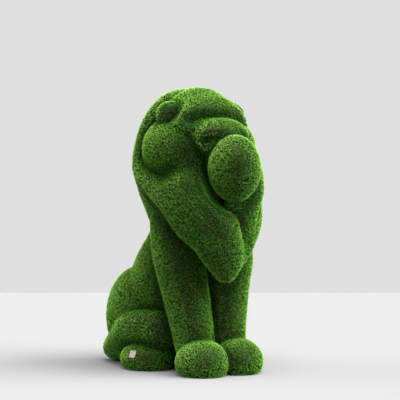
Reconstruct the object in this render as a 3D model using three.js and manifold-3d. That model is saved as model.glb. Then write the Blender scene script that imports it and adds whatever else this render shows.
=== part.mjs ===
// Sitting lion clad in artificial turf, with a small blank plate on its right hind paw.
// Frame: millimetres, +Z up, the face looks along -Y, the lion's left is +X.
// Origin: centre of the footprint of the whole figure, on the ground.
// The turf's outer surface is modelled: the pile tips all round, the flat soles at Z = 0.

import * as THREE from "three";
import Module from "manifold-3d";
import { mergeVertices } from "three/addons/utils/BufferGeometryUtils.js";

// Driving dimensions, in millimetres.
const HEIGHT = 1200;
const PLATE_SIDE = 31;
const PLATE_THICK = 3;
const PLATE_CORNER = 3;
const SEAT_DEPTH = 4;
const CLEARANCE = 0.3;

// Every size of the form below is a share of the height, in thousandths:
// x outwards to either side, y backwards, z upwards, all from the middle of the front paws.
const UNIT = HEIGHT / 1000;

// Facet sizes: finer over the head and mane, coarser over the body. Each zone is from, to and step.
const GRID = [
  [[-290, 290, 22.8]],
  [[-240, 190, 22.6], [190, 690, 33]],
  [[-90, 330, 31], [330, 1050, 21.8]],
];

// Rounded masses: centre, then half sizes along x, y and z. Pairs stand at +x and -x.
const MASS = {
  backMane: { at: [0, 225, 700], half: [192, 200, 228] },
  nape: { at: [0, 290, 570], half: [120, 115, 150] },
  skull: { at: [0, 158, 802], half: [166, 134, 198] },
  forehead: { at: [0, 85, 850], half: [150, 90, 118] },
  cheek: { at: [97, 156, 778], half: [112, 138, 121] },
  ear: { at: [122, 140, 898], half: [57, 48, 51] },
  earHollow: { at: [146, 99, 908], half: [30, 17, 27] },
  brow: { at: [0, 4, 819], half: [106, 74, 70] },
  snout: { at: [0, 14, 752], half: [56, 100, 76] },
  muzzle: { at: [0, -86, 713], half: [87, 104, 116] },
  muzzleGap: { at: [0, -74, 706], half: [104, 112, 140] },
  haunch: { at: [108, 400, 170], half: [117, 158, 186] },
  belly: { at: [0, 205, 120], half: [98, 95, 170] },
  rump: { at: [70, 420, 60], half: [110, 135, 95] },
  hindPaw: { at: [152, 262, 36], half: [96, 106, 70] },
  frontPaw: { at: [69, 14, 42], half: [93, 104, 81] },
};

// Tapering rolls: stops of x, y, z and radius, joined by a smooth curve.
const ROLL = {
  maneRim: [
    [0, 195, 940, 60], [80, 212, 922, 60], [128, 240, 862, 54], [148, 266, 790, 48],
    [158, 262, 720, 50], [160, 205, 668, 62], [150, 120, 612, 68], [118, 44, 542, 66],
    [73, -8, 478, 59], [44, -24, 418, 45], [15, -25, 350, 10],
  ],
  maneFold: [
    [214, 268, 705, 10], [223, 248, 668, 17], [220, 170, 612, 20], [190, 98, 550, 18],
    [152, 64, 500, 10],
  ],
  temple: [[70, 70, 790, 46], [86, 70, 720, 54], [100, 50, 655, 64]],
  eyeSlit: [[84, -33, 808, 8], [70, -44, 813, 11], [48, -57, 819, 11]],
  browFold: [[0, 2, 893, 13], [60, 11, 892, 13], [98, 30, 880, 9]],
  chest: [[0, 190, 560, 130], [0, 200, 330, 90]],
  trunk: [[0, 200, 560, 96], [0, 262, 400, 150], [0, 310, 290, 180], [0, 370, 150, 180]],
  foreleg: [
    [97, 152, 520, 92], [100, 140, 446, 91], [99, 121, 385, 90], [85, 112, 303, 85],
    [64, 86, 142, 76], [66, 64, 80, 70],
  ],
  shank: [
    [125, 222, 138, 76], [147, 280, 138, 79], [163, 335, 130, 76], [163, 430, 82, 60],
    [155, 500, 50, 52],
  ],
};

// Rolls that are not the same on both sides: the front locks and the tail. +x is the lion's left.
const ONE_SIDED = {
  rightLock: [
    [-108, 88, 640, 60], [-98, 34, 606, 68], [-68, -12, 566, 74], [-39, -38, 513, 75],
    [-28, -48, 470, 72], [-12, -50, 410, 62], [-9, -45, 360, 40], [2, -36, 332, 14],
  ],
  leftLock: [
    [108, 20, 690, 64], [95, 0, 637, 68], [71, -10, 575, 65], [53, -15, 513, 64],
    [26, -15, 470, 60], [10, -15, 430, 45],
  ],
  tail: [[10, 550, 70, 34], [80, 578, 44, 28], [150, 574, 38, 26], [200, 535, 38, 28]],
};
const TAIL_TUFT = { at: [208, 490, 40], half: [33, 54, 47] };

// Widths over which neighbouring forms melt into one another. The creases stay narrow.
const CREASE = 8;
const FOLD = 12;
const SLIT_EDGE = 16;
const HOLLOW_EDGE = 22;
const FACE_EDGE = 24;
const CROWN = 30;
const BLEND = 40;
const CURVE_PARTS = 3;

// How the net is laid: room kept inside each cell, hold on a corner's mean place, snap to the ground,
// reach for measuring a slope, and the rounds and strides of the searches.
const CELL_MARGIN = 0.015;
const CREASE_HOLD = 0.05;
const GROUND_SNAP = 5;
const SLOPE_REACH = 1.5;
const LEAST_STEEPNESS = 0.2;
const SETTLE_ROUNDS = 3;
const CREASE_ROUNDS = 12;
const CREASE_STRIDE = 1.2;
const SIGHT_ROUNDS = 40;
const SIGHT_STRIDE = 0.8;
const WELD = 1e-4;

// Where the plate looks outwards from the right hind paw: a line of sight through this point.
const PLATE_AT = [-225, 238, 57];
const PLATE_FACING = [-0.44, -0.89, 0.13];

// Smooth union and smooth cut of two distances.
function join(a, b, width) {
  const h = Math.max(width - Math.abs(a - b), 0) / width;
  return Math.min(a, b) - (h * h * width) / 4;
}

function carve(a, b, width) {
  return -join(-a, b, width);
}

// Distance to an ellipsoid whose axes lie along x, y and z.
function massDistance({ at, half }, x, y, z) {
  const u = (x - at[0]) / half[0];
  const v = (y - at[1]) / half[1];
  const w = (z - at[2]) / half[2];
  const reach = Math.hypot(u, v, w);
  const slope = Math.hypot(u / half[0], v / half[1], w / half[2]);
  return (reach * (reach - 1)) / Math.max(slope, 1e-9);
}

// The stops of a roll joined by a smooth curve, as short straight pieces.
function rollPieces(stops) {
  const last = stops.length - 1;
  const before = stops[0].map((v, i) => 2 * v - stops[1][i]);
  const after = stops[last].map((v, i) => 2 * v - stops[last - 1][i]);
  const all = [before, ...stops, after];
  const points = [];
  for (let s = 1; s <= last; s += 1) {
    for (let k = 0; k < CURVE_PARTS; k += 1) {
      const t = k / CURVE_PARTS;
      points.push(all[s].map((b, i) => {
        const [a, c, d] = [all[s - 1][i], all[s + 1][i], all[s + 2][i]];
        return b + 0.5 * t * (c - a + t * (2 * a - 5 * b + 4 * c - d + t * (3 * b - a - 3 * c + d)));
      }));
    }
  }
  points.push(stops[last]);
  return points.slice(1).map((to, i) => {
    const from = points[i];
    const run = [to[0] - from[0], to[1] - from[1], to[2] - from[2]];
    return { from, run, runSquared: run[0] ** 2 + run[1] ** 2 + run[2] ** 2, growth: to[3] - from[3] };
  });
}

function rollDistance(pieces, x, y, z) {
  let least = Infinity;
  for (const { from, run, runSquared, growth } of pieces) {
    const dx = x - from[0];
    const dy = y - from[1];
    const dz = z - from[2];
    const along = Math.min(Math.max((dx * run[0] + dy * run[1] + dz * run[2]) / runSquared, 0), 1);
    const away = Math.hypot(dx - along * run[0], dy - along * run[1], dz - along * run[2]);
    least = Math.min(least, away - from[3] - growth * along);
  }
  return least;
}

function curved(rolls) {
  return Object.fromEntries(Object.entries(rolls).map(([name, stops]) => [name, rollPieces(stops)]));
}

const pairedRoll = curved(ROLL);
const singleRoll = curved(ONE_SIDED);

// Signed distance to the turf's surface in thousandths of the height: negative inside.
function form(x, y, z) {
  const side = Math.abs(x);
  const mass = (name) => massDistance(MASS[name], side, y, z);
  const roll = (name) => rollDistance(pairedRoll[name], side, y, z);
  const lock = (name) => rollDistance(singleRoll[name], x, y, z);

  let head = join(mass("backMane"), mass("skull"), CROWN);
  head = join(head, mass("nape"), BLEND);
  head = join(head, mass("forehead"), CROWN);
  head = carve(head, roll("browFold"), SLIT_EDGE);
  head = join(head, roll("maneRim"), CREASE);
  head = join(head, mass("ear"), CREASE);
  head = join(head, mass("cheek"), CREASE);
  head = carve(head, mass("earHollow"), HOLLOW_EDGE);
  head = join(head, roll("temple"), BLEND);
  head = join(head, lock("rightLock"), BLEND);
  head = join(head, lock("leftLock"), CREASE);
  head = carve(head, roll("maneFold"), CREASE);
  head = carve(head, mass("muzzleGap"), HOLLOW_EDGE);
  head = join(head, mass("snout"), FACE_EDGE);
  head = join(head, mass("brow"), FACE_EDGE);
  head = carve(head, roll("eyeSlit"), CREASE);
  head = join(head, mass("muzzle"), CREASE);

  let body = join(roll("chest"), roll("trunk"), BLEND);
  body = join(body, mass("haunch"), FOLD);
  body = join(body, mass("rump"), BLEND);
  body = join(body, mass("belly"), BLEND);
  body = join(body, roll("shank"), CREASE);
  body = join(body, mass("hindPaw"), CREASE);
  body = join(body, roll("foreleg"), FOLD);
  body = join(body, mass("frontPaw"), FOLD);
  const tail = join(lock("tail"), massDistance(TAIL_TUFT, x, y, z), FOLD);
  body = join(body, tail, FOLD);
  return join(head, body, CREASE);
}

// The same form in millimetres.
const distance = (p) => form(p[0] / UNIT, p[1] / UNIT, p[2] / UNIT) * UNIT;

// The slope of the distance, which points outwards.
function outward(p) {
  return [0, 1, 2].map((axis) => {
    const ahead = [...p];
    const behind = [...p];
    ahead[axis] += SLOPE_REACH;
    behind[axis] -= SLOPE_REACH;
    return (distance(ahead) - distance(behind)) / (2 * SLOPE_REACH);
  });
}

// Moves a point onto the surface, but never out of its cell.
function settle(start, cell) {
  let p = start;
  for (let round = 0; round < SETTLE_ROUNDS; round += 1) {
    const d = distance(p);
    const slope = outward(p);
    const steep = Math.max(slope[0] ** 2 + slope[1] ** 2 + slope[2] ** 2, LEAST_STEEPNESS);
    p = p.map((v, i) => v - (d * slope[i]) / steep);
    p = p.map((v, i) => Math.min(Math.max(v, cell[i][0]), cell[i][1]));
  }
  return p;
}

// The point that lies best on the tangent planes of the cuts, so that creases keep their place.
function creasePoint(cuts) {
  const mean = [0, 1, 2].map((i) => cuts.reduce((sum, c) => sum + c[i], 0) / cuts.length);
  const normals = cuts.map((c) => {
    const slope = outward(c);
    const size = Math.hypot(...slope) || 1;
    return slope.map((v) => v / size);
  });
  const step = [0, 0, 0];
  for (let round = 0; round < CREASE_ROUNDS; round += 1) {
    const pull = step.map((v) => -CREASE_HOLD * v);
    normals.forEach((n, k) => {
      const gap = n.reduce((sum, v, i) => sum + v * (cuts[k][i] - mean[i] - step[i]), 0);
      n.forEach((v, i) => {
        pull[i] += (v * gap) / cuts.length;
      });
    });
    step.forEach((v, i) => {
      step[i] = v + CREASE_STRIDE * pull[i];
    });
  }
  return mean.map((v, i) => v + step[i]);
}

function gridLines(zones) {
  const lines = [];
  for (const [from, to, step] of zones) {
    const parts = Math.round((to - from) / step);
    for (let i = 0; i < parts; i += 1) {
      lines.push((from + ((to - from) * i) / parts) * UNIT);
    }
  }
  lines.push(zones[zones.length - 1][1] * UNIT);
  return lines;
}

// A closed net of facets over the surface, one corner in every grid cell that the surface crosses.
function facetedSkin() {
  const lines = GRID.map(gridLines);
  const count = lines.map((l) => l.length);
  const stride = [1, count[0], count[0] * count[1]];
  const value = new Float64Array(count[0] * count[1] * count[2]);
  for (let k = 0; k < count[2]; k += 1) {
    for (let j = 0; j < count[1]; j += 1) {
      for (let i = 0; i < count[0]; i += 1) {
        value[i + j * stride[1] + k * stride[2]] = distance([lines[0][i], lines[1][j], lines[2][k]]);
      }
    }
  }
  const offset = (axis, u, v) => u * stride[(axis + 1) % 3] + v * stride[(axis + 2) % 3];
  const isCut = (at, axis) => value[at] < 0 !== value[at + stride[axis]] < 0;

  // Cell edges are numbered 4 * axis + u + 2 * v, and joined in rings through the cell's faces.
  const corners = [];
  const cornerOf = new Map();
  function addCell(node, at) {
    const ring = Array.from({ length: 12 }, (_, i) => i);
    const top = (e) => (ring[e] === e ? e : top(ring[e]));
    const link = (a, b) => {
      ring[top(a)] = top(b);
    };
    for (let axis = 0; axis < 3; axis += 1) {
      const b = (axis + 1) % 3;
      const c = (axis + 2) % 3;
      for (let s = 0; s < 2; s += 1) {
        const edges = [4 * b + 2 * s, 4 * c + s + 2, 4 * b + 1 + 2 * s, 4 * c + s];
        const nodes = [[0, 0], [1, 0], [1, 1], [0, 1]].map(([p, q]) =>
          at + s * stride[axis] + p * stride[b] + q * stride[c]);
        const inside = nodes.map((n) => value[n] < 0);
        const cut = edges.filter((_, i) => inside[i] !== inside[(i + 1) % 4]);
        if (cut.length === 2) {
          link(cut[0], cut[1]);
        }
        if (cut.length === 4) {
          inside.forEach((isIn, i) => isIn && link(edges[i], edges[(i + 3) % 4]));
        }
      }
    }
    const rings = new Map();
    for (let edge = 0; edge < 12; edge += 1) {
      const axis = Math.floor(edge / 4);
      const [u, v] = [edge % 2, Math.floor((edge % 4) / 2)];
      const from = at + offset(axis, u, v);
      if (isCut(from, axis)) {
        const share = value[from] / (value[from] - value[from + stride[axis]]);
        const start = [...node];
        start[(axis + 1) % 3] += u;
        start[(axis + 2) % 3] += v;
        const point = start.map((n, i) => lines[i][n]);
        point[axis] += share * (lines[axis][start[axis] + 1] - point[axis]);
        const key = top(edge);
        rings.set(key, [...(rings.get(key) ?? []), { edge, point }]);
      }
    }
    const cell = node.map((n, i) => {
      const margin = CELL_MARGIN * (lines[i][n + 1] - lines[i][n]);
      return [lines[i][n] + margin, lines[i][n + 1] - margin];
    });
    for (const cuts of rings.values()) {
      cuts.forEach((c) => cornerOf.set(at * 12 + c.edge, corners.length));
      corners.push(settle(creasePoint(cuts.map((c) => c.point)), cell));
    }
  }
  for (let k = 0; k < count[2] - 1; k += 1) {
    for (let j = 0; j < count[1] - 1; j += 1) {
      for (let i = 0; i < count[0] - 1; i += 1) {
        addCell([i, j, k], i + j * stride[1] + k * stride[2]);
      }
    }
  }

  // Around every cut grid edge the four neighbouring corners make two facets.
  const facets = [];
  const middle = (a, b) => [0, 1, 2].map((i) => (corners[a][i] + corners[b][i]) / 2);
  for (let k = 1; k < count[2] - 1; k += 1) {
    for (let j = 1; j < count[1] - 1; j += 1) {
      for (let i = 1; i < count[0] - 1; i += 1) {
        const at = i + j * stride[1] + k * stride[2];
        for (let axis = 0; axis < 3; axis += 1) {
          if (isCut(at, axis)) {
            const quad = [[0, 0], [1, 0], [1, 1], [0, 1]].map(([u, v]) =>
              cornerOf.get((at - offset(axis, u, v)) * 12 + 4 * axis + u + 2 * v));
            if (value[at] >= 0) {
              quad.reverse();
            }
            const [a, b, c, d] = quad;
            const isFirst = Math.abs(distance(middle(a, c))) <= Math.abs(distance(middle(b, d)));
            facets.push(...(isFirst ? [a, b, c, a, c, d] : [b, c, d, b, d, a]));
          }
        }
      }
    }
  }
  // Corners close to the ground plane go onto it, so that the soles have no thin slivers.
  const near = GROUND_SNAP * UNIT;
  const settled = corners.map(([x, y, z]) => [x, y, Math.abs(z) < near ? 0 : z]);
  return { corners: settled.flat(), facets };
}

const wasm = await Module();
wasm.setup();

function solidOf(vertProperties, triVerts) {
  return new wasm.Manifold(new wasm.Mesh({
    numProp: 3,
    vertProperties: new Float32Array(vertProperties),
    triVerts: new Uint32Array(triVerts),
  }));
}

function solidFrom(geometry) {
  const bare = geometry.clone();
  bare.deleteAttribute("normal");
  bare.deleteAttribute("uv");
  const merged = mergeVertices(bare, WELD);
  return solidOf(merged.attributes.position.array, merged.index.array);
}

function geometryOf(solid) {
  const mesh = solid.getMesh();
  const geometry = new THREE.BufferGeometry();
  const places = [];
  for (let i = 0; i < mesh.vertProperties.length; i += mesh.numProp) {
    places.push(...mesh.vertProperties.slice(i, i + 3));
  }
  geometry.setAttribute("position", new THREE.Float32BufferAttribute(places, 3));
  geometry.setIndex([...mesh.triVerts]);
  geometry.computeVertexNormals();
  return geometry;
}

// The plate stands square to the paw's surface, in a shallow seat cut from the same place.
function plateFrame() {
  let p = new THREE.Vector3(...PLATE_AT).multiplyScalar(UNIT);
  const sight = new THREE.Vector3(...PLATE_FACING).normalize();
  for (let round = 0; round < SIGHT_ROUNDS; round += 1) {
    p = p.addScaledVector(sight, -SIGHT_STRIDE * distance(p.toArray()));
  }
  const face = new THREE.Vector3(...outward(p.toArray())).normalize();
  const level = new THREE.Vector3(-face.y, face.x, 0).normalize();
  const rise = new THREE.Vector3().crossVectors(face, level);
  return new THREE.Matrix4().makeBasis(level, rise, face).setPosition(p);
}

function plateShape() {
  const half = PLATE_SIDE / 2;
  const arc = half - PLATE_CORNER;
  const shape = new THREE.Shape();
  [[1, -1], [1, 1], [-1, 1], [-1, -1]].forEach(([sx, sy], i) => {
    shape.absarc(sx * arc, sy * arc, PLATE_CORNER, (i - 1) * Math.PI / 2, i * Math.PI / 2);
  });
  return shape;
}

const frame = plateFrame();
const skin = facetedSkin();
let lionSolid = solidOf(skin.corners, skin.facets);

const ground = new THREE.BoxGeometry(2 * HEIGHT, 2 * HEIGHT, HEIGHT);
ground.translate(0, 0, -HEIGHT / 2);
lionSolid = lionSolid.subtract(solidFrom(ground));

const seatSide = PLATE_SIDE + 2 * CLEARANCE;
const seatHeight = 10 * SEAT_DEPTH;
const seat = new THREE.BoxGeometry(seatSide, seatSide, seatHeight);
seat.translate(0, 0, seatHeight / 2 - SEAT_DEPTH);
seat.applyMatrix4(frame);
lionSolid = lionSolid.subtract(solidFrom(seat));

const lionGeometry = geometryOf(lionSolid);
lionGeometry.computeBoundingBox();
const middleOfFeet = lionGeometry.boundingBox.getCenter(new THREE.Vector3()).setZ(0);

const turf = new THREE.MeshStandardMaterial({ color: 0x2f6b1c, roughness: 0.95, metalness: 0 });
turf.name = "turf";
const plastic = new THREE.MeshStandardMaterial({ color: 0xe6dedb, roughness: 0.5, metalness: 0 });
plastic.name = "plate_plastic";

const lion = new THREE.Mesh(lionGeometry, turf);
lion.name = "lion";

const plateGeometry = new THREE.ExtrudeGeometry(plateShape(), {
  depth: PLATE_THICK, bevelEnabled: false, curveSegments: 2,
});
plateGeometry.translate(0, 0, CLEARANCE - SEAT_DEPTH);
const plate = new THREE.Mesh(plateGeometry, plastic);
plate.name = "plate";
plate.applyMatrix4(frame);

const figure = new THREE.Group();
figure.name = "topiary_lion";
figure.add(lion, plate);
figure.position.copy(middleOfFeet).negate();

export default figure;
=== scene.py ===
"""Looks of the sitting turf lion: backing, pile blade by blade, blank plate, floor, light and camera.

Everything is in metres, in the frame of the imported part. The form is the one that the part's solids
are made from: rounded masses and tapering rolls, in thousandths of the height, x outwards to either
side, y backwards and z upwards from the middle of the front paws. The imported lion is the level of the
pile tips. The backing lies the pile's height below it, and the blades stand on the backing.
"""
import math

import bpy
import numpy as np
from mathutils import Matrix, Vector


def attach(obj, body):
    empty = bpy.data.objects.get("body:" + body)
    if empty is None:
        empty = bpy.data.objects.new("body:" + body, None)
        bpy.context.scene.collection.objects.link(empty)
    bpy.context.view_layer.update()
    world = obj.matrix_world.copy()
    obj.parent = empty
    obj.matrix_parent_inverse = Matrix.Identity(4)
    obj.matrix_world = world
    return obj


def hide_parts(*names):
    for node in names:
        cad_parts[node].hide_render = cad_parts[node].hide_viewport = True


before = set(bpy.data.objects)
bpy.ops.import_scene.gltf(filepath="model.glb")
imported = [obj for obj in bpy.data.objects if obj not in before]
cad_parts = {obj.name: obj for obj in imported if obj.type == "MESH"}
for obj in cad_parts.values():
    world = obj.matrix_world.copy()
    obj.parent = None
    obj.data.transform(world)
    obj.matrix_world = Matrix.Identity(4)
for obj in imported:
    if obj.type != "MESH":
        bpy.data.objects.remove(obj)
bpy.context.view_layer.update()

HEIGHT = 1.2
UNIT = HEIGHT / 1000
FEET_MIDDLE = 0.24985  # from the middle of the front paws back to the middle of the whole footprint

MASS = {
    "backMane": ((0, 225, 700), (192, 200, 228)),
    "nape": ((0, 290, 570), (120, 115, 150)),
    "skull": ((0, 158, 802), (166, 134, 198)),
    "forehead": ((0, 85, 850), (150, 90, 118)),
    "cheek": ((97, 156, 778), (112, 138, 121)),
    "ear": ((122, 140, 898), (57, 48, 51)),
    "earHollow": ((146, 99, 908), (30, 17, 27)),
    "brow": ((0, 4, 819), (106, 74, 70)),
    "snout": ((0, 14, 752), (56, 100, 76)),
    "muzzle": ((0, -86, 713), (87, 104, 116)),
    "muzzleGap": ((0, -74, 706), (104, 112, 140)),
    "haunch": ((108, 400, 170), (117, 158, 186)),
    "belly": ((0, 205, 120), (98, 95, 170)),
    "rump": ((70, 420, 60), (110, 135, 95)),
    "hindPaw": ((152, 262, 36), (96, 106, 70)),
    "frontPaw": ((69, 14, 42), (93, 104, 81)),
    "tailTuft": ((208, 490, 40), (33, 54, 47)),
}
ROLL = {
    "maneRim": [
        (0, 195, 940, 60), (80, 212, 922, 60), (128, 240, 862, 54), (148, 266, 790, 48),
        (158, 262, 720, 50), (160, 205, 668, 62), (150, 120, 612, 68), (118, 44, 542, 66),
        (73, -8, 478, 59), (44, -24, 418, 45), (15, -25, 350, 10),
    ],
    "temple": [(70, 70, 790, 46), (86, 70, 720, 54), (100, 50, 655, 64)],
    "maneFold": [
        (214, 268, 705, 10), (223, 248, 668, 17), (220, 170, 612, 20), (190, 98, 550, 18),
        (152, 64, 500, 10),
    ],
    "eyeSlit": [(84, -33, 808, 8), (70, -44, 813, 11), (48, -57, 819, 11)],
    "browFold": [(0, 2, 893, 13), (60, 11, 892, 13), (98, 30, 880, 9)],
    "chest": [(0, 190, 560, 130), (0, 200, 330, 90)],
    "trunk": [(0, 200, 560, 96), (0, 262, 400, 150), (0, 310, 290, 180), (0, 370, 150, 180)],
    "foreleg": [
        (97, 152, 520, 92), (100, 140, 446, 91), (99, 121, 385, 90), (85, 112, 303, 85),
        (64, 86, 142, 76), (66, 64, 80, 70),
    ],
    "shank": [
        (125, 222, 138, 76), (147, 280, 138, 79), (163, 335, 130, 76), (163, 430, 82, 60),
        (155, 500, 50, 52),
    ],
    "rightLock": [
        (-108, 88, 640, 60), (-98, 34, 606, 68), (-68, -12, 566, 74), (-39, -38, 513, 75),
        (-28, -48, 470, 72), (-12, -50, 410, 62), (-9, -45, 360, 40), (2, -36, 332, 14),
    ],
    "leftLock": [
        (108, 20, 690, 64), (95, 0, 637, 68), (71, -10, 575, 65), (53, -15, 513, 64),
        (26, -15, 470, 60), (10, -15, 430, 45),
    ],
    "tail": [(10, 550, 70, 34), (80, 578, 44, 28), (150, 574, 38, 26), (200, 535, 38, 28)],
}
CREASE = 8
FOLD = 12
SLIT_EDGE = 16
HOLLOW_EDGE = 22
FACE_EDGE = 24
CROWN = 30
BLEND = 40
CURVE_PARTS = 3

# The backing's net, in metres.
PILE = 0.014
NET_STEP = 0.009
NET_BOX = ((-0.30, 0.30), (-0.25, 0.78), (-0.02, 1.21))
SOLE = 0.0006  # the backing's underside above the ground
SLOPE_REACH = 0.002
SETTLE_SHARE = 0.9
POINTS_AT_ONCE = 1 << 16

# The pile: one tuft on each small patch of backing, and the blades of each tuft, in metres.
SEED = 11
TUFT_SPACING = 0.0066
TUFT_RADIUS = 0.0028
BLADES = 13
BLADE_WIDTH = (0.0009, 0.0015)
ROOT_DEPTH = 0.001
LOWEST_ROOT = 0.002
MOST_DOWNWARD = -0.97  # no pile grows on the sole
LOWEST_BLADE = 0.0004

# Shares of the pile's height: of a tuft, of a tuft deep in a crease, of a blade and of brown thatch.
TUFT_HEIGHT = (0.93, 1.05)
CREASE_HEIGHT = 0.58
BLADE_HEIGHT = (0.84, 1.08)
THATCH_HEIGHT = 0.70

# Lean of a tuft and splay of its blades, as slopes, how far overhead a crease is felt, and how far
# overhead the shelter that sets the painted shade is looked for.
LEAN = 0.20
SPLAY = (0.02, 0.12)  # least, and what is added at random
CREASE_REACH = 0.018
SHELTER_REACH = 0.07

# Tones run from 0, brown thatch, over 0.13, dark green, to 1, pale green.
THATCH_SHARE = 0.05
THATCH_SHARE_IN_EAR = 0.60
EAR_REACH = 17
THATCH_TONE = 0.1
DARKEST = 0.13
HUE_SPREAD = 2.2
# The upward share is painted light: pile facing upward gets a lighter tone, as if lit from above, within
# the limits below.
TUFT_TONE, BLADE_TONE, UPWARD_PAINTED_LIGHT = 0.40, 0.38, 0.34
UPWARD_PAINTED_LIGHT_LIMITS = (-0.4, 0.5)
# Painted shade: tone taken off in creases and in sheltered places under overhanging parts, where shade
# falls.
CREASE_PAINTED_SHADE, SHELTER_PAINTED_SHADE = 0.3, 0.45

# The colour map: strips side by side, and the room left at a strip's sides and at its ends.
STRIPS = 128
STRIP_EDGE = 0.2
MAP_EDGE = 0.02

# Room that blades leave around the plate, and how far off the plate a blade is looked at.
PLATE_ROOM = 0.0008
PLATE_MARGIN = 0.0004
PLATE_UNDER = 0.0003
PLATE_REACH = 0.03
SHORTEST = 0.05

# Where the pile's meshes part between front and back, in thousandths of the height.
HEAD_SPLIT = 150
BODY_SPLIT = 300


def join(a, b, width):
    h = np.maximum(width - np.abs(a - b), 0) / width
    return np.minimum(a, b) - h * h * (width / 4)


def carve(a, b, width):
    return -join(-a, b, width)


def mass_distance(name, x, y, z):
    (cx, cy, cz), (hx, hy, hz) = MASS[name]
    u, v, w = (x - cx) / hx, (y - cy) / hy, (z - cz) / hz
    reach = np.sqrt(u * u + v * v + w * w)
    slope = np.sqrt((u / hx) ** 2 + (v / hy) ** 2 + (w / hz) ** 2)
    return reach * (reach - 1) / np.maximum(slope, 1e-9)


def roll_pieces(stops):
    """The stops joined by a smooth curve: each short straight piece's start, and its way to its end."""
    p = np.array(stops, float)
    p = np.vstack([2 * p[0] - p[1], p, 2 * p[-1] - p[-2]])
    line = []
    for a, b, c, d in zip(p[:-3], p[1:-2], p[2:-1], p[3:]):
        for k in range(CURVE_PARTS):
            t = k / CURVE_PARTS
            bend = 2 * a - 5 * b + 4 * c - d + t * (3 * b - a - 3 * c + d)
            line.append(b + 0.5 * t * (c - a + t * bend))
    line.append(p[-2])
    return [tuple(map(float, (*f, *(t - f)))) for f, t in zip(line[:-1], line[1:])]


PIECES = {name: roll_pieces(stops) for name, stops in ROLL.items()}


def roll_distance(name, x, y, z):
    least = None
    for fx, fy, fz, fr, rx, ry, rz, growth in PIECES[name]:
        dx, dy, dz = x - fx, y - fy, z - fz
        along = np.clip((dx * rx + dy * ry + dz * rz) * (1 / (rx * rx + ry * ry + rz * rz)), 0, 1)
        dx -= along * rx
        dy -= along * ry
        dz -= along * rz
        d = np.sqrt(dx * dx + dy * dy + dz * dz) - along * growth - fr
        least = d if least is None else np.minimum(least, d)
    return least


def head_and_body(x, y, z):
    """Signed distances to the two halves of the form, in thousandths of the height."""
    side = np.abs(x)

    def mass(name):
        return mass_distance(name, side, y, z)

    def roll(name):
        return roll_distance(name, side, y, z)

    head = join(mass("backMane"), mass("skull"), CROWN)
    head = join(head, mass("nape"), BLEND)
    head = join(head, mass("forehead"), CROWN)
    head = carve(head, roll("browFold"), SLIT_EDGE)
    head = join(head, roll("maneRim"), CREASE)
    head = join(head, mass("ear"), CREASE)
    head = join(head, mass("cheek"), CREASE)
    head = carve(head, mass("earHollow"), HOLLOW_EDGE)
    head = join(head, roll("temple"), BLEND)
    head = join(head, roll_distance("rightLock", x, y, z), BLEND)
    head = join(head, roll_distance("leftLock", x, y, z), CREASE)
    head = carve(head, roll("maneFold"), CREASE)
    head = carve(head, mass("muzzleGap"), HOLLOW_EDGE)
    head = join(head, mass("snout"), FACE_EDGE)
    head = join(head, mass("brow"), FACE_EDGE)
    head = carve(head, roll("eyeSlit"), CREASE)
    head = join(head, mass("muzzle"), CREASE)

    body = join(roll("chest"), roll("trunk"), BLEND)
    body = join(body, mass("haunch"), FOLD)
    body = join(body, mass("rump"), BLEND)
    body = join(body, mass("belly"), BLEND)
    body = join(body, roll("shank"), CREASE)
    body = join(body, mass("hindPaw"), CREASE)
    body = join(body, roll("foreleg"), FOLD)
    body = join(body, mass("frontPaw"), FOLD)
    tail = join(roll_distance("tail", x, y, z), mass_distance("tailTuft", x, y, z), FOLD)
    return head, join(body, tail, FOLD)


def distance(points):
    """Signed distance to the level of the pile tips, for points from the front paws, all in metres."""
    out = np.empty(len(points), np.float32)
    for at in range(0, len(points), POINTS_AT_ONCE):
        x, y, z = (points[at:at + POINTS_AT_ONCE] / UNIT).astype(np.float32).T.copy()
        head, body = head_and_body(x, y, z)
        out[at:at + POINTS_AT_ONCE] = join(head, body, CREASE) * UNIT
    return out


def slopes(points):
    """Unit normals of the form, from four samples around each point."""
    corners = np.array([(1, -1, -1), (-1, -1, 1), (-1, 1, -1), (1, 1, 1)], float)
    return unit(sum(c * distance(points + c * SLOPE_REACH)[:, None] for c in corners))


def unit(v):
    return v / np.maximum(np.linalg.norm(v, axis=-1, keepdims=True), 1e-12)


def backing_distance(points):
    return np.maximum(distance(points) + PILE, SOLE - points[:, 2])


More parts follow.
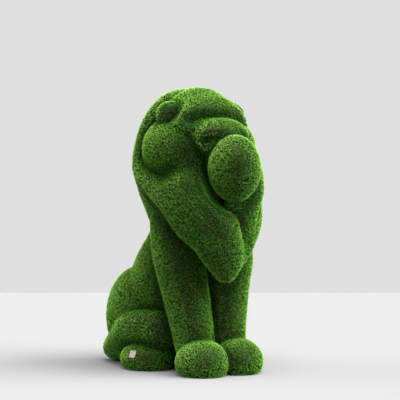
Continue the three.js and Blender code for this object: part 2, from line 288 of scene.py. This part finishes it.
def surface_net(step):
    """A closed net of four-sided faces on the backing: corners (metres) and faces."""
    lines = [np.arange(lo, hi + step, step) for lo, hi in NET_BOX]
    shape = tuple(len(line) for line in lines)
    grid = np.stack(np.meshgrid(*lines, indexing="ij"), -1).reshape(-1, 3)
    value = backing_distance(grid).reshape(shape)
    inside = value < 0
    cells = tuple(n - 1 for n in shape)
    total = np.zeros(cells + (3,), np.float32)
    count = np.zeros(cells, np.float32)
    cut = []
    for axis in range(3):
        near = [slice(None)] * 3
        far = [slice(None)] * 3
        near[axis], far[axis] = slice(0, -1), slice(1, None)
        near, far = tuple(near), tuple(far)
        crossed = inside[near] != inside[far]
        cut.append(crossed)
        share = np.where(crossed, value[near] / np.where(crossed, value[near] - value[far], 1), 0)
        place = np.zeros(crossed.shape + (3,), np.float32)
        place[..., axis] = share
        place *= crossed[..., None]
        others = [a for a in range(3) if a != axis]
        for u in (0, 1):
            for v in (0, 1):
                part = [slice(None)] * 3
                for a, up in zip(others, (u, v)):
                    part[a] = slice(up, shape[a] - 1 + up)
                part = tuple(part)
                total += place[part]
                count += crossed[part]
                for a, up in zip(others, (u, v)):
                    total[..., a] += up * crossed[part]
    used = count > 0
    number = np.full(cells, -1, np.int64)
    number[used] = np.arange(used.sum())
    where = np.argwhere(used)
    start = np.array([line[0] for line in lines])
    corners = start + (where + total[used] / count[used][:, None]) * step
    faces = []
    for axis in range(3):
        b, c = (axis + 1) % 3, (axis + 2) % 3
        at = np.argwhere(cut[axis])
        at = at[(at[:, b] > 0) & (at[:, c] > 0) & (at[:, b] < cells[b]) & (at[:, c] < cells[c])]
        ring = []
        for u, v in ((0, 0), (1, 0), (1, 1), (0, 1)):
            cell = at.copy()
            cell[:, b] -= u
            cell[:, c] -= v
            ring.append(number[tuple(cell.T)])
        ring = np.stack(ring, 1)
        flip = ~inside[tuple(at.T)]
        ring[flip] = ring[flip][:, ::-1]
        faces.append(ring)
    return corners, np.concatenate(faces)


def settle(points, rounds=2):
    """Moves points of the net onto the backing."""
    p = points.copy()
    for _ in range(rounds):
        upper = p[:, 2] > SOLE + NET_STEP / 2
        p[upper] -= slopes(p[upper]) * (distance(p[upper]) + PILE)[:, None] * SETTLE_SHARE
    return p


def in_row(points):
    return points - np.array([0, FEET_MIDDLE, 0])


def new_mesh(name, corners, faces, uv=None):
    """A smooth mesh object from arrays, put into the scene. All faces have the same count of corners."""
    mesh = bpy.data.meshes.new(name)
    mesh.vertices.add(len(corners))
    mesh.vertices.foreach_set("co", np.ascontiguousarray(corners, np.float32).ravel())
    size = faces.shape[1]
    mesh.loops.add(faces.size)
    mesh.loops.foreach_set("vertex_index", np.ascontiguousarray(faces, np.int32).ravel())
    mesh.polygons.add(len(faces))
    mesh.polygons.foreach_set("loop_start", np.arange(0, faces.size, size, dtype=np.int32))
    mesh.update(calc_edges=True)
    mesh.validate()
    mesh.polygons.foreach_set("use_smooth", np.ones(len(mesh.polygons), bool))
    if uv is not None:
        layer = mesh.uv_layers.new(name="OFBake")
        layer.data.foreach_set("uv", np.ascontiguousarray(uv[faces.ravel()], np.float32).ravel())
    piece = bpy.data.objects.new(name, mesh)
    bpy.context.scene.collection.objects.link(piece)
    return piece


# ---- materials

def material(name):
    """A new material with its node tree, its main shader and a maker of further nodes."""
    made = bpy.data.materials.new(name)
    made.use_nodes = True
    tree = made.node_tree
    shader = tree.nodes["Principled BSDF"]

    def node(kind, **settings):
        new = tree.nodes.new(kind)
        for key, value in settings.items():
            if key in new.inputs:
                new.inputs[key].default_value = value
            else:
                setattr(new, key, value)
        return new

    return made, tree.links.new, shader, node


def ramp(node, stops):
    """A colour ramp node with stops of place and colour."""
    made = node("ShaderNodeValToRGB")
    points = made.color_ramp.elements
    while len(points) < len(stops):
        points.new(0.5)
    for point, (place, colour) in zip(points, stops):
        point.position = place
        point.color = (*colour, 1)
    return made


def blade_material():
    """Green plastic blades, each in its own tone, with painted shade and sheen: near black at the root as
    painted shade deep in the pile, and whitened at the tip as a painted sheen.
    """
    made, link, shader, node = material("turf_pile")
    place = node("ShaderNodeUVMap", uv_map="OFBake")
    parts = node("ShaderNodeSeparateXYZ")
    link(place.outputs["UV"], parts.inputs[0])
    # Colour by tone, from brown thatch over dark green to a whitish pale green. The whitish top end is
    # reached only where the tone is raised for pile facing upward, so it is a painted highlight on the
    # tops.
    shade = ramp(node, (
        (0.00, (0.14, 0.12, 0.05)),
        (0.09, (0.20, 0.19, 0.07)),
        (0.12, (0.04, 0.19, 0.012)),
        (0.45, (0.11, 0.36, 0.022)),
        (0.75, (0.23, 0.54, 0.06)),
        (1.00, (0.68, 0.75, 0.42)),
    ))
    link(parts.outputs[0], shade.inputs[0])
    # Painted shade and sheen along each blade: near black at the root for the shade deep in the pile, and
    # whitened past full strength at the tip for the sheen of the tips.
    depth = ramp(node, (
        (0.00, (0.02, 0.03, 0.02)),
        (0.45, (0.045, 0.08, 0.025)),
        (0.80, (0.26, 0.38, 0.16)),
        (1.00, (2.30, 1.52, 3.00)),
    ))
    link(parts.outputs[1], depth.inputs[0])
    mixed = node("ShaderNodeMix", data_type="RGBA", blend_type="MULTIPLY")
    mixed.inputs[0].default_value = 1
    link(shade.outputs[0], mixed.inputs[6])
    link(depth.outputs[0], mixed.inputs[7])
    link(mixed.outputs[2], shader.inputs["Base Color"])
    rough = node("ShaderNodeMapRange")
    rough.inputs[3].default_value = 0.75
    rough.inputs[4].default_value = 0.42
    link(parts.outputs[1], rough.inputs[0])
    link(rough.outputs[0], shader.inputs["Roughness"])
    shader.inputs["Specular IOR Level"].default_value = 0.25
    return made


def backing_material():
    """Dark woven backing with short brown fibre, seen only between the blades."""
    made, link, shader, node = material("turf_backing")
    place = node("ShaderNodeTexCoord")
    fibre = node("ShaderNodeTexNoise", Scale=260.0, Detail=5.0, Roughness=0.65)
    patch = node("ShaderNodeTexNoise", Scale=22.0, Detail=3.0)
    link(place.outputs["Object"], fibre.inputs["Vector"])
    link(place.outputs["Object"], patch.inputs["Vector"])
    green = ramp(node, ((0.32, (0.006, 0.016, 0.004)), (0.62, (0.022, 0.058, 0.012))))
    brown = ramp(node, ((0.35, (0.016, 0.014, 0.006)), (0.65, (0.050, 0.040, 0.016))))
    link(fibre.outputs[0], green.inputs[0])
    link(fibre.outputs[0], brown.inputs[0])
    mixed = node("ShaderNodeMix", data_type="RGBA")
    share = node("ShaderNodeMapRange")
    share.inputs[1].default_value = 0.45
    share.inputs[2].default_value = 0.7
    link(patch.outputs[0], share.inputs[0])
    link(share.outputs[0], mixed.inputs[0])
    link(green.outputs[0], mixed.inputs[6])
    link(brown.outputs[0], mixed.inputs[7])
    link(mixed.outputs[2], shader.inputs["Base Color"])
    shader.inputs["Roughness"].default_value = 0.95
    shader.inputs["Specular IOR Level"].default_value = 0.1
    return made


def plate_material():
    """Pale matte plastic with a faint cloudiness and fine wear in its gloss."""
    made, link, shader, node = material("plate_plastic")
    place = node("ShaderNodeTexCoord")
    cloud = node("ShaderNodeTexNoise", Scale=90.0, Detail=4.0)
    wear = node("ShaderNodeTexNoise", Scale=700.0, Detail=3.0)
    link(place.outputs["Object"], cloud.inputs["Vector"])
    link(place.outputs["Object"], wear.inputs["Vector"])
    tone = ramp(node, ((0.3, (0.115, 0.105, 0.082)), (0.7, (0.165, 0.152, 0.120))))
    link(cloud.outputs[0], tone.inputs[0])
    link(tone.outputs[0], shader.inputs["Base Color"])
    gloss = node("ShaderNodeMapRange")
    gloss.inputs[3].default_value = 0.38
    gloss.inputs[4].default_value = 0.62
    link(wear.outputs[0], gloss.inputs[0])
    link(gloss.outputs[0], shader.inputs["Roughness"])
    bump = node("ShaderNodeBump", Strength=0.15, Distance=0.0002)
    link(wear.outputs[0], bump.inputs["Height"])
    link(bump.outputs[0], shader.inputs["Normal"])
    return made


# ---- backing

corners, faces = surface_net(NET_STEP)
corners = settle(corners)
backing = new_mesh("turf_backing", in_row(corners), faces)
backing.data.materials.append(backing_material())
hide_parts("lion")
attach(backing, "root")

# ---- the plate's own axes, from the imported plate

plate_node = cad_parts["plate"]
plate_points = np.array([v.co for v in plate_node.data.vertices], float)
plate_middle = (plate_points.min(0) + plate_points.max(0)) / 2
plate_out = np.linalg.svd(plate_points - plate_points.mean(0))[2][2]
plate_out = plate_out if plate_out[1] < 0 else -plate_out
plate_level = unit(np.cross(plate_out, (0, 0, -1)))
plate_rise = np.cross(plate_out, plate_level)
plate_rise = plate_rise if plate_rise[2] > 0 else -plate_rise
plate_axes = np.stack([plate_level, plate_rise, plate_out], 1)
reach = np.abs((plate_points - plate_middle) @ plate_axes)
plate_half = float(reach[:, :2].max())
plate_depth = 2 * float(reach[:, 2].max())

# ---- pile

rng = np.random.default_rng(SEED)


def tufts():
    """Roots and outward directions of the tufts, spread evenly over the backing."""
    a, b, c, d = (corners[faces[:, i]] for i in range(4))
    across, along = (b + c - a - d) / 2, (c + d - a - b) / 2
    area = np.linalg.norm(np.cross(across, along), axis=1)
    count = np.floor(area / TUFT_SPACING ** 2 + rng.random(len(area))).astype(int)
    pick = np.repeat(np.arange(len(area)), count)
    u, v = rng.random((2, len(pick), 1))
    roots = (a[pick] * (1 - u) + b[pick] * u) * (1 - v) + (d[pick] * (1 - u) + c[pick] * u) * v
    roots = roots[roots[:, 2] > SOLE + ROOT_DEPTH]
    out = slopes(roots)
    roots -= out * (distance(roots) + PILE)[:, None]
    keep = (roots[:, 2] > LOWEST_ROOT) & (out[:, 2] > MOST_DOWNWARD)
    return roots[keep], out[keep]


def sideways(direction):
    """Two unit vectors square to each direction."""
    helper = np.where(np.abs(direction[:, 2:]) < 0.9, [[0.0, 0.0, 1.0]], [[1.0, 0.0, 0.0]])
    one = unit(np.cross(helper, direction))
    return one, np.cross(direction, one)


def inside_ear(roots):
    """Whether each root is in the hollow of an ear, where the pile is thin and brown."""
    x, y, z = (roots / UNIT).T
    return (mass_distance("earHollow", np.abs(x), y, z) < EAR_REACH)[:, None]


def grow(roots, out):
    """Blades for every tuft: corners (3 a blade), tones and the tuft of each blade."""
    n = len(roots)
    one, two = sideways(out)
    turn, lean = rng.random((2, n, 1)) * [[[2 * np.pi]], [[1.0]]]
    lean = LEAN * np.sqrt(lean)
    axis = unit(out + lean * (np.cos(turn) * one + np.sin(turn) * two))
    room = np.clip(distance(roots + out * (PILE + CREASE_REACH)) / CREASE_REACH, 0, 1)[:, None]
    # How open the space over a tuft is; it sets only the painted shade.
    open_air = np.clip(distance(roots + out * (PILE + SHELTER_REACH)) / SHELTER_REACH, 0, 1)[:, None]
    height = rng.uniform(*TUFT_HEIGHT, (n, 1)) * (CREASE_HEIGHT + (1 - CREASE_HEIGHT) * room)
    hue = rng.beta(HUE_SPREAD, HUE_SPREAD, (n, 1))
    tuft = np.repeat(np.arange(n), BLADES)
    m = len(tuft)
    turn = rng.random((m, 1)) * 2 * np.pi
    aside = np.cos(turn) * one[tuft] + np.sin(turn) * two[tuft]
    splay = SPLAY[0] + SPLAY[1] * rng.random((m, 1))
    rise = unit(axis[tuft] + splay * aside)
    thatch = rng.random((m, 1)) < np.where(inside_ear(roots)[tuft], THATCH_SHARE_IN_EAR, THATCH_SHARE)
    length = PILE * height[tuft] * rng.uniform(*BLADE_HEIGHT, (m, 1)) * np.where(thatch, THATCH_HEIGHT, 1)
    root = roots[tuft] + aside * TUFT_RADIUS * np.sqrt(rng.random((m, 1))) - out[tuft] * ROOT_DEPTH
    tip = root + rise * length
    wide = unit(np.cross(rise, rng.normal(size=(m, 3))))
    end = wide * rng.uniform(*BLADE_WIDTH, (m, 1)) / 2
    places = np.stack([root, tip + end, tip - end], 1)
    tone = TUFT_TONE * hue[tuft] + BLADE_TONE * rng.random((m, 1))
    # Painted light: the tone is raised where the pile faces upward.
    tone = tone + UPWARD_PAINTED_LIGHT * np.clip(out[tuft][:, 2:], *UPWARD_PAINTED_LIGHT_LIMITS)
    # Painted shade: darker tone in creases and under overhanging parts.
    tone = DARKEST + (1 - DARKEST) * tone - CREASE_PAINTED_SHADE * (1 - room[tuft])
    tone = np.clip(tone - SHELTER_PAINTED_SHADE * (1 - open_air[tuft]), DARKEST, 1)
    tone = np.where(thatch, THATCH_TONE * rng.random((m, 1)), tone)
    return places, tone[:, 0], tuft


roots, out = tufts()
places, tone, tuft = grow(roots, out)

# Blades stay above the ground, and out of the plate.
places[..., 2] = np.maximum(places[..., 2], LOWEST_BLADE)


def near_plate(margin):
    """The blades' corners on the plate's own axes, and whether each corner is over or under the plate."""
    beside = (in_row(places) - plate_middle) @ plate_axes
    over = (np.abs(beside[..., :2]) < plate_half + margin).all(-1)
    return beside, over & (np.abs(beside[..., 2]) < PLATE_REACH)


beside, over = near_plate(PLATE_ROOM)
limit = -plate_depth / 2 - PLATE_UNDER
low, top = beside[:, 0, 2], beside[:, 1:, 2].max(1)
share = np.clip((limit - low) / np.maximum(top - low, 1e-6), SHORTEST, 1)
share = np.where(over[:, 0] & (top > limit), share, 1)
foot = places[:, :1].copy()
places = foot + (places - foot) * share[:, None, None]
beside, over = near_plate(PLATE_MARGIN)
keep = ~(over & (beside[..., 2] > limit)).any(1)
places, tone, tuft = places[keep], tone[keep], tuft[keep]

# Each blade takes a narrow strip of its tone, from root to tip, in the colour map.
strip = np.floor(np.clip(tone, 0, 0.9999) * STRIPS)
near, far = (strip + STRIP_EDGE) / STRIPS, (strip + 1 - STRIP_EDGE) / STRIPS
uv = np.stack([
    np.stack([(near + far) / 2, far, near], 1),
    np.broadcast_to([MAP_EDGE, 1 - MAP_EDGE, 1 - MAP_EDGE], (len(strip), 3)),
], 2)

x, y, z = (roots / UNIT).astype(np.float32).T.copy()
head, body = head_and_body(x, y, z)
in_body = head >= body
at_back = y > np.where(in_body, BODY_SPLIT, HEAD_SPLIT)
splits = [(in_body, ("head", "body")), (x > 0, ("right", "left")), (at_back, ("front", "back"))]
region = sum(flag.astype(int) << k for k, (flag, _) in enumerate(splits))
pile_material = blade_material()
for index in range(1 << len(splits)):
    name = "_".join(["pile"] + [words[index >> k & 1] for k, (_, words) in enumerate(splits)])
    mine = region[tuft] == index
    spots = in_row(places[mine]).reshape(-1, 3)
    triangles = np.arange(len(spots)).reshape(-1, 3)
    piece = new_mesh(name, spots, triangles, uv[mine].reshape(-1, 2))
    piece.data.materials.append(pile_material)
    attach(piece, "root")

# ---- plate

plate_node.data.materials.clear()
plate_node.data.materials.append(plate_material())

# ---- floor, light and camera

# The camera's turn, the way it looks and the way to its right. The floor lies square to them.
TURN = math.radians(29.75)
FLOOR_BEHIND = 3.5
FLOOR_AHEAD = 90
FLOOR_GREY = 0.13
WORLD_STRENGTH = 0.74
depth = Vector((math.sin(TURN), math.cos(TURN), 0))
right = Vector((math.cos(TURN), -math.sin(TURN), 0))
floor_corners = [
    depth * away + right * side
    for away, side in (
        (-FLOOR_AHEAD, -FLOOR_AHEAD), (-FLOOR_AHEAD, FLOOR_AHEAD),
        (FLOOR_BEHIND, FLOOR_AHEAD), (FLOOR_BEHIND, -FLOOR_AHEAD),
    )
]
floor_mesh = bpy.data.meshes.new("floor")
floor_mesh.from_pydata(floor_corners, [], [(0, 1, 2, 3)])
floor = bpy.data.objects.new("floor", floor_mesh)
bpy.context.scene.collection.objects.link(floor)
floor_look, _, floor_shader, _ = material("floor")
floor_shader.inputs["Base Color"].default_value = (FLOOR_GREY, FLOOR_GREY, FLOOR_GREY, 1)
floor_shader.inputs["Roughness"].default_value = 0.8
floor_shader.inputs["Specular IOR Level"].default_value = 0
floor_mesh.materials.append(floor_look)

world = bpy.data.worlds.new("studio")
bpy.context.scene.world = world
world.use_nodes = True
world.node_tree.nodes["Background"].inputs[0].default_value = (1, 1, 1, 1)
world.node_tree.nodes["Background"].inputs[1].default_value = WORLD_STRENGTH
bpy.context.scene.view_settings.view_transform = "Standard"


def sun(name, azimuth, elevation, power, spread):
    """A soft light from far away. Azimuth 0 comes from the front and 90 from the lion's left."""
    data = bpy.data.lights.new(name, "SUN")
    data.energy = power
    data.angle = math.radians(spread)
    made = bpy.data.objects.new(name, data)
    turn, rise = math.radians(azimuth), math.radians(elevation)
    towards = Vector((math.sin(turn) * math.cos(rise), -math.cos(turn) * math.cos(rise), math.sin(rise)))
    made.rotation_mode = "QUATERNION"
    made.rotation_quaternion = (-towards).to_track_quat("-Z", "Y")
    bpy.context.scene.collection.objects.link(made)


sun("top", 12, 76, 10.5, 50)
sun("left_rim", -130, 30, 3, 50)
sun("right_rim", 50, 40, 10.5, 45)

# The camera as fitted to the photograph: its distance and height, and in pixels its focal length,
# the horizon, the column of the front paws' middle and the picture's side.
AWAY = 5.167 * HEIGHT
EYE = 0.7535 * HEIGHT
FOCAL = 1497
HORIZON = 156.5
AIM_X = 221.6
PICTURE = 400
SENSOR = 36
pitch = math.atan((PICTURE / 2 - HORIZON) / FOCAL)
look = depth * math.cos(pitch) - Vector((0, 0, math.sin(pitch)))
camera_data = bpy.data.cameras.new("camera")
camera_data.sensor_width = SENSOR
camera_data.lens = FOCAL / PICTURE * SENSOR
camera = bpy.data.objects.new("camera", camera_data)
camera.location = -depth * AWAY - right * ((AIM_X - PICTURE / 2) / FOCAL * AWAY)
camera.location += Vector((0, -FEET_MIDDLE, EYE))
camera.rotation_mode = "QUATERNION"
camera.rotation_quaternion = look.to_track_quat("-Z", "Y")
bpy.context.scene.collection.objects.link(camera)
bpy.context.scene.camera = camera
